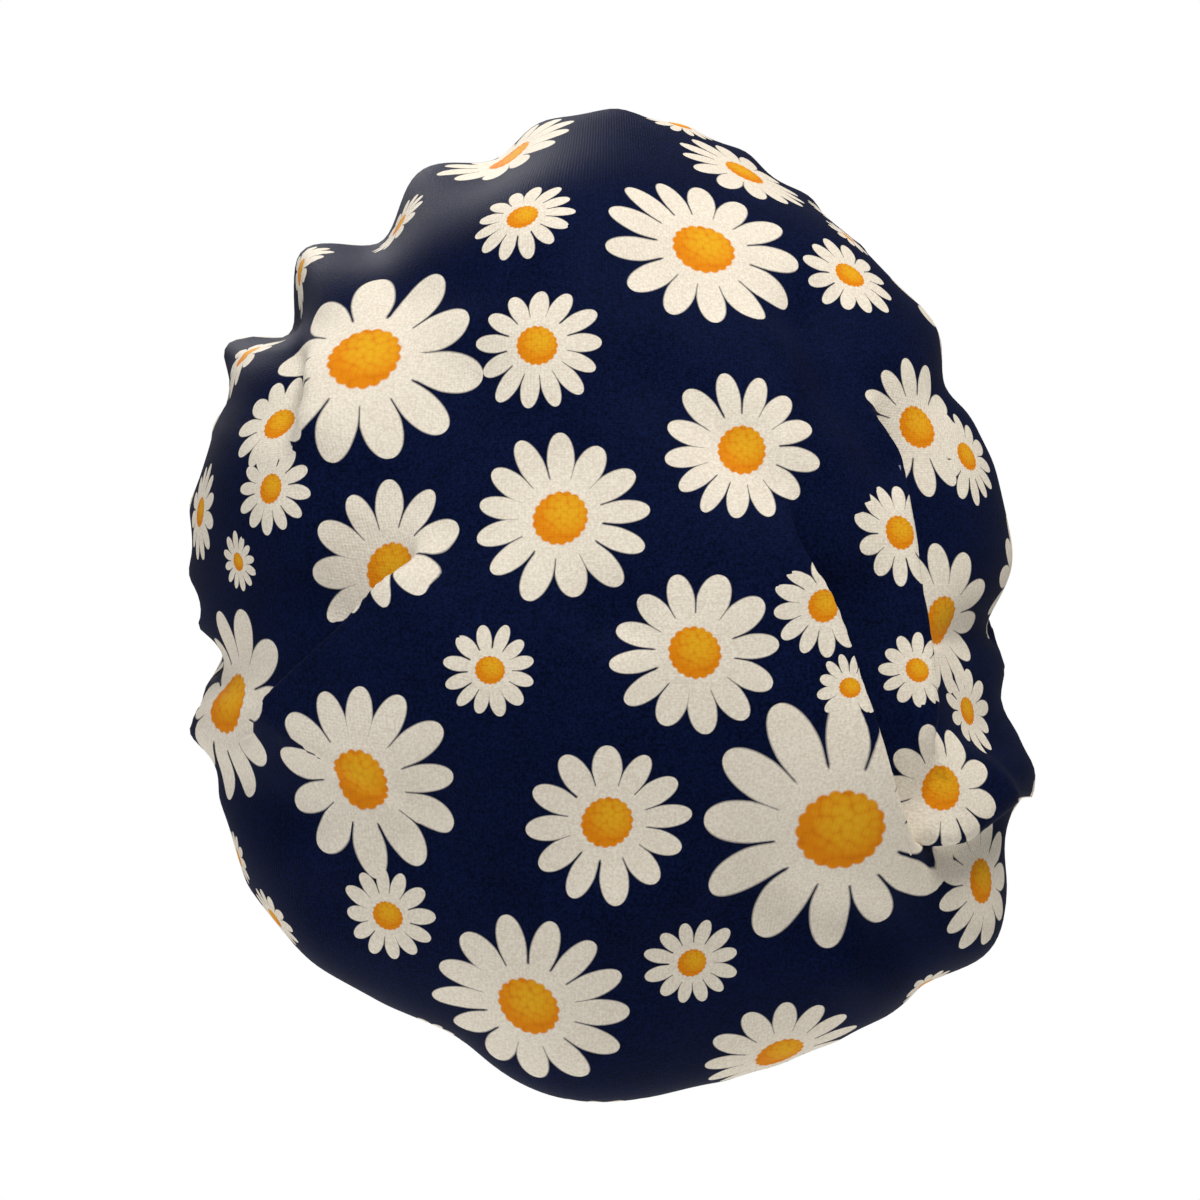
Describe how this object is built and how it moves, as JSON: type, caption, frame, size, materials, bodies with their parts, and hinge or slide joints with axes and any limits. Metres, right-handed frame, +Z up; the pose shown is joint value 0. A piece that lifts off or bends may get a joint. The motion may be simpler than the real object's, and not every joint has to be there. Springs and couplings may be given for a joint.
{
  "type": "bouffant scrub cap",
  "caption": "Bouffant scrub cap in navy printed knit with white daisies, gathered into a brow band and an elastic nape casing, kept in its worn shape.",
  "frame": {"origin": "centre of the head opening", "axes": "+Z up; -Y towards the wearer's face, so +Y is the back of the cap; +X the wearer's left"},
  "size_m": [0.2876, 0.2812, 0.3332],
  "materials": {
    "crown_knit": "fine knit with a slight sheen, white and orange daisy print",
    "band_knit": "plain navy knit",
    "casing_knit": "plain navy knit, gathered"
  },
  "bodies": {
    "root": {"crown": "crown_knit", "brow_band": "band_knit", "nape_casing": "casing_knit"}
  },
  "joints": []
}
